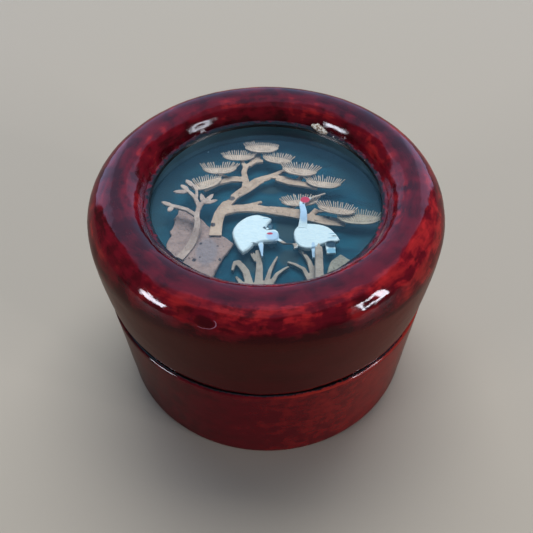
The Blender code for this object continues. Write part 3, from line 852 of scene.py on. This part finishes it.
# branches that are thicker than the first cut: their points in mm, width at the first and at the last
THICKER = [
    (((-5.4, 10.7), (-9.0, 10.8), (-12.5, 9.4), (-15.6, 7.2)), 2.0, 1.5),
    (((3.0, 10.9), (6.0, 9.4), (9.0, 8.7), (13.0, 7.6)), 1.9, 1.6), (((8.2, 9.0), (9.0, 11.8)), 1.3, 1.0),
    (((1.0, -0.4), (4.5, -0.8), (8.4, -1.5)), 2.2, 2.0),
    (((11.0, -3.4), (14.5, -3.6), (17.8, -4.4)), 1.9, 1.7),
    (((10.4, -3.2), (12.2, -0.6)), 1.5, 1.1), (((-5.6, 0.4), (-3.4, 1.0), (-1.4, 2.3)), 1.9, 0.6)]
OVERLAP, BRANCH_THICK = 0.25, 0.78
laid = []
for points, wide, narrow in THICKER:
    widths = [wide + (narrow - wide) * i / (len(points) - 1) for i in range(len(points))]
    for k, (foot, tip) in enumerate(zip(points, points[1:])):
        ahead = (Vector(tip) - Vector(foot)).normalized() * OVERLAP
        start, end = Vector(foot) - ahead, Vector(tip) + ahead
        laid.append(splinter(start, end, widths[k], widths[k + 1], BRANCH_THICK, LAYER_Z))
TWIG = [((-4.5, 16.1), (-2.6, 17.8)), ((-2.9, 17.4), (-1.75, 19.2)), ((-1.8, 18.9), (-1.7, 21.4)),
        ((-2.9, 17.7), (-0.6, 17.8))]
for foot, tip in TWIG:
    laid.append(splinter(foot, tip, wide=1.3, narrow=1.15, thick=0.8, low=LAYER_Z))
pine = carved("pine", voxel=0.13, rounds=6, grain=1.0, depth=0.12, cuts=[
    [(-8.3, 1.5), (-7.7, 2.3), (-7.2, 3.6), (-5.6, 4.9), (-4.1, 6.1), (-2.4, 7.8), (-1.3, 9.0), (-0.5, 9.4),
     (-0.3, 10.0), (0.2, 10.2), (1.2, 10.6), (2.4, 10.9), (2.6, 8.0), (-3.0, 3.6), (-6.0, 2.1)],
    [(-11.4, 2.2), (-9.8, 2.8), (-8.95, 3.6), (-8.6, 5.3), (-9.6, 6.6)]], laid=laid)
shaved(pine, -1.5, -6.0, 0.45)
pine.data.materials.append(wood)

# Tufts: ten clouds of needles, each a bowed slip of cork whose upper edge is cut into fine needles. A row
# gives centre, half width, drop, solid crown and needle length in mm, tilt in degrees, whether it lies high,
# and from where to where its needles are short, and how short.
LOW_TUFT_Z, HIGH_TUFT_Z = 49.1, 50.0
NEEDLE_APART = 0.53
NEEDLE = {"wide": 0.27, "narrow": 0.21, "thick": 0.46, "low": 0.0, "lift": 0.2}
SLIP_THICK, SLIP_POINTS = 0.35, 64
TUFTS = [
    ((-0.95, 21.3), 4.75, 1.9, 0.90, 1.6, -3, True, (-0.3, 1.0, 0.6)),
    ((-7.1, 19.0), 4.50, 1.7, 0.35, 1.8, -1, False, (-1.0, -0.5, 0.75)),
    ((3.05, 17.8), 4.15, 1.8, 0.50, 1.9, -15, False, (-1.0, -0.8, 0.8)),
    ((-11.8, 13.2), 4.65, 2.1, 0.05, 2.2, 1, True, (-0.20, 0.06, 0.35)),
    ((8.7, 12.1), 4.75, 1.9, 0.55, 2.4, -12, True, (-0.15, -0.05, 0.5)),
    ((-15.2, 8.7), 4.60, 2.1, 0.60, 2.0, 24, False, (0.75, 1.0, 0.6)),
    ((14.6, 8.4), 4.75, 2.0, 0.15, 2.2, -11, False, (0.0, 0.1, 0.5)),
    ((8.3, 1.5), 4.80, 1.5, 0.50, 1.9, 2, False, (-1.0, -0.8, 0.7)),
    ((16.9, -2.2), 4.85, 1.6, 0.45, 1.9, -14, True, (0.75, 1.0, 0.8)),
    ((22.2, -4.2), 5.60, 2.2, 0.90, 1.6, -3, False, (-1.0, -0.5, 0.5))]


def tuft(number, centre, half, drop, crown, reach, tilt, high, short):
    """A slip of cork with a bowed underside and a fan of needles cut into its upper edge."""
    low = HIGH_TUFT_Z if high else LOW_TUFT_Z
    rng = random.Random(100 + number)
    outline = []
    for i in range(SLIP_POINTS):
        angle = 2 * math.pi * i / SLIP_POINTS
        x = math.cos(angle)
        edge = -drop * (1 - abs(x) ** 2.8) ** 0.75 if math.sin(angle) < 0 else crown * (1 - x * x) ** 0.8
        outline.append((x * half * 0.94, edge))
    slip = cut_out("tuft_%02d_cut" % number, outline, 0.0, SLIP_THICK)
    cut = []
    count = round(2 * half / NEEDLE_APART)
    for i in range(count):
        x = -0.96 + 1.92 * (i + 0.5) / count
        dome = math.sqrt(1 - (x * 0.95) ** 2)
        lean = x * 0.7 + math.radians(tilt) * 0.6 + rng.uniform(-0.10, 0.10)
        length = reach * (0.75 + 0.25 * dome) * rng.uniform(0.80, 1.10)
        if short[0] <= x <= short[1]:
            length *= short[2]
        root = Vector((x * half * 0.96, crown * (1 - x * x) ** 0.8))
        way = Vector((math.sin(lean), math.cos(lean)))
        buried = 0.4 + dome * (drop * 0.7 + crown * 0.5)
        cut.append(splinter(root - way * buried, root + way * length, **NEEDLE))
    spliced(slip, cut)
    soften(slip, 0.068, 0)
    slip.data.transform(Matrix.Translation((centre[0] * MM, centre[1] * MM, low * MM))
                        @ Matrix.Rotation(math.radians(tilt), 4, "Z"))
    relief(slip, grain=0.8, depth=0.06, level=0.7)
    bpy.ops.object.shade_smooth()
    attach(slip, "root")
    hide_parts("pine_tuft_%02d" % number)
    return slip


needles = cork_surface("needles", rgb(0.60, 0.472, 0.372), rgb(0.47, 0.355, 0.27), 0.35)
shaded = cork_surface("shaded_needles", rgb(0.44, 0.37, 0.28), rgb(0.34, 0.285, 0.22), 0.4)
for number, row in enumerate(TUFTS, 1):
    tuft(number, *row).data.materials.append(shaded if number == 10 else needles)
bpy.data.objects.remove(blank)

# Shrub: a stem with three arms and eight leaves, cut as one piece of light cork. It stands in front of the
# left rock, and its foot is shaved down to the rock.
leafy = carved("shrub", voxel=0.10, rounds=4, grain=0.9, depth=0.08)
relief(leafy, 0, 0.09, level=0.0)
shaved(leafy, -4.5, -13.0, 0.12)
leafy.data.materials.append(cork_surface("shrub_wood", rgb(0.50, 0.385, 0.32), rgb(0.36, 0.26, 0.215), 0.4))


# Cranes: two birds cut from cork and painted white, with a red crown, black wing marks and bare bills. The
# upright one's neck is shaved down to its body.
def crane_paint(name, spots):
    """White paint with brush marks, and its spots of other colours."""
    material, tree, shader, place = surface(name)
    brush = noise(tree, vector_calc(tree, "MULTIPLY", place, (1, 2.2, 1)), 1.1, 4, 0.8)
    color = mix(tree, fade(tree, brush, 0.35, 0.65), rgb(0.62, 0.755, 0.80), rgb(0.69, 0.805, 0.83))
    rough = plus(tree, times(tree, brush, 0.3), 0.35)
    coated(tree, shader, spotted(tree, color, spots), rough, brush, 0.07)
    return material


BILL = rgb(0.42, 0.33, 0.26)
RED = rgb(0.50, 0.025, 0.060)
INK = rgb(0.020, 0.035, 0.050)
BLUE_SHADE = rgb(0.42, 0.58, 0.74)
PALE_BLUE = rgb(0.22, 0.42, 0.54)
WHITE = rgb(0.62, 0.74, 0.78)
left = carved("crane_left", voxel=0.10, rounds=5, grain=0.8, depth=0.06)
left.data.materials.append(crane_paint("left_crane_paint", [
    ((1.6, -9.8, 1.7, 1.5), BLUE_SHADE), ((-1.2, -14.0, 0.7, 2.6), BLUE_SHADE),
    ((4.9, -12.2, 2.6, 1.5), BILL), ((0.85, -9.0, 0.75, 0.35), RED), ((-0.3, -7.0, 0.5, 0.35), INK),
    ((-0.5, -3.2, 0.9, 0.12), PALE_BLUE), ((0.1, -4.0, 0.9, 0.12), PALE_BLUE)]))
# its leg tapers from the body down
LEG_TOP, LEG_LENGTH, LEG_LEFT = -11.8, 4.0, -3
LEG_WAS, LEG_NOW, LEG_LEANS, LEG_WIDER = -1.2, -1.25, 0.3, 1.45
for point in left.data.vertices:
    down = (LEG_TOP - point.co.y / MM) / LEG_LENGTH
    if down > 0 and point.co.x > LEG_LEFT * MM:
        aside = (point.co.x - LEG_WAS * MM) * (LEG_WIDER - min(down, 1))
        point.co.x = (LEG_NOW + LEG_LEANS * down) * MM + aside
right = carved("crane_right", voxel=0.10, rounds=5, grain=0.8, depth=0.06)
# its neck runs down to the body's level, and its legs are a little wider and further right
BODY_TOP = 49.1
NECK_END, BODY_START, NECK_RUN = -3.2, -7.3, 4.0
LEGS_TOP, LEGS_LEFT, LEGS_RIGHT = -13.0, 9.5, 11.6
LEGS_WERE, LEGS_NOW, LEGS_WIDER = 10.5, 10.9, 1.5
for point in right.data.vertices:
    over = point.co.z - BODY_TOP * MM
    if over > 0 and point.co.y < NECK_END * MM:
        left_over = 0.05 + 0.95 * eased((point.co.y / MM - BODY_START) / NECK_RUN)
        point.co.z = BODY_TOP * MM + over * left_over
    if point.co.y < LEGS_TOP * MM and LEGS_LEFT * MM < point.co.x < LEGS_RIGHT * MM:
        point.co.x = LEGS_NOW * MM + (point.co.x - LEGS_WERE * MM) * LEGS_WIDER
right.data.materials.append(crane_paint("right_crane_paint", [
    ((9.0, -3.0, 1.4, 2.8), BLUE_SHADE), ((12.7, 2.6, 2.6, 1.7), BILL), ((9.5, 0.85, 1.25, 1.15), RED),
    ((9.0, -0.35, 0.26, 0.22), INK), ((15.0, -14.2, 1.3, 0.9), PALE_BLUE), ((15.1, -12.3, 1.5, 1.0), INK),
    ((10.8, -14.2, 0.5, 2.6), BLUE_SHADE), ((15.6, -9.1, 1.0, 0.12), PALE_BLUE),
    ((15.9, -9.9, 0.8, 0.14), INK), ((15.2, -10.5, 1.1, 0.1), PALE_BLUE)]))

# Feathers: the bent crane's black wing feathers, with the painted shade in the gap between its wing and its
# head, on one slip. It is cut from thin cork, painted dark with light marks, and lies lower than the white
# body.
feathers_and_shade_paint = crane_paint("ink_feathers_and_shade", [
    ((0.6, -6.6, 2.2, 1.9), INK), ((0.2, -6.7, 0.45, 0.3), WHITE), ((0.9, -5.9, 0.5, 0.1), PALE_BLUE),
    ((1.0, -6.5, 0.4, 0.08), PALE_BLUE)])
FEATHERS = [(-0.9, -5.9), (0.0, -5.3), (0.9, -4.9), (1.5, -5.2), (1.8, -5.9), (1.4, -6.3), (1.6, -7.0),
            (0.8, -7.6), (-0.2, -8.0), (-0.9, -7.4)]
slip = cut_out("crane_left_feathers_and_shade", FEATHERS, LAYER_Z + 0.05, 0.45)
soften(slip, 0.08, 3)
bpy.ops.object.shade_smooth()
slip.data.materials.append(feathers_and_shade_paint)
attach(slip, "root")

# Reeds: two clumps of broad blades in front, each cut from one piece of light cork. They are glued to the
# board at their feet, which the front of the ring hides.
blade = cork_surface("reed_blades", rgb(0.41, 0.34, 0.275), rgb(0.29, 0.235, 0.19), 0.35, [
    ((8.9, -13.8, 0.4, 0.5), SHADE), ((8.1, -12.3, 0.35, 0.35), SHADE), ((-3.3, -13.2, 0.3, 0.9), SHADE)])
for node in ("reeds_left", "reeds_right"):
    clump = carved(node, voxel=0.12, rounds=5, grain=0.9, depth=0.08)
    clump.data.materials.append(blade)

# Glass: a plain round pane of thin clear glass, flat on both sides, glued in under the lip. Its shadow is
# left out in the shader, so that light reaches the picture as it does through a real pane.
clear, tree, shader, place = surface("clear_pane")
shader.inputs["Base Color"].default_value = rgb(0.98, 1.0, 0.99)
shader.inputs["Roughness"].default_value = 0.0
shader.inputs["IOR"].default_value = 1.4
shader.inputs["Transmission Weight"].default_value = 1.0
lets_light = add(tree, "ShaderNodeBsdfTransparent", {"Color": rgb(0.98, 0.99, 0.99)})
shadow_ray = add(tree, "ShaderNodeLightPath").outputs["Is Shadow Ray"]
pane = add(tree, "ShaderNodeMixShader", {0: shadow_ray, 1: shader.outputs[0], 2: lets_light.outputs[0]})
put(tree, pane.outputs[0], tree.nodes["Material Output"].inputs["Surface"])
nodes["glass_pane"].data.materials[0] = clear

# Glue: where the pane was glued in, a lump was squeezed out at the back right, and small beads run on
# from it. It is mottled brown and light, and has set hard.
resin, tree, shader, place = surface("old_glue")
grains = noise(tree, place, 0.5, 3)
color = mix(tree, fade(tree, grains, 0.42, 0.62), rgb(0.22, 0.15, 0.09), rgb(0.66, 0.61, 0.52))
coated(tree, shader, color, plus(tree, times(tree, grains, 0.3), 0.1), grains, 0.10)


def glue(name, blobs):
    """Blobs of glue melted into one; each is (angle, distance from the axis, height, size) in mm."""
    made = []
    for angle, out, up, size in blobs:
        angle = math.radians(angle)
        at = Vector((out * math.cos(angle), out * math.sin(angle), up)) * MM
        bpy.ops.mesh.primitive_ico_sphere_add(subdivisions=2, radius=size / 2 * MM, location=at)
        made.append(bpy.context.object)
    piece = made[0]
    spliced(piece, made[1:])
    bpy.ops.object.transform_apply()
    piece.name = piece.data.name = name
    soften(piece, 0.08, 1)
    relief(piece, grain=0.5, depth=0.45, level=0.6)
    bpy.ops.object.shade_smooth()
    piece.data.materials.append(resin)
    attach(piece, "root")


LUMP = [(63.8, 28.8, 54.6, 1.1), (62.2, 28.7, 54.6, 1.7), (60.4, 28.6, 54.5, 2.0), (58.6, 28.4, 54.3, 2.0),
        (57.0, 28.3, 54.1, 1.6), (61.0, 29.0, 55.0, 1.2), (58.2, 28.2, 53.7, 1.3), (55.6, 28.2, 54.0, 1.0)]
BEADS = [(50.6, 28.1, 54.0, 0.5), (48.4, 28.0, 53.9, 0.36), (46.9, 28.1, 54.1, 0.25),
         (43.6, 28.0, 54.0, 0.28), (40.4, 27.9, 53.9, 0.36), (39.6, 28.0, 54.0, 0.25),
         (32.1, 27.8, 53.8, 0.3), (26.2, 27.8, 53.8, 0.3)]
glue("glue_lump", LUMP)
glue("glue_beads", BEADS)
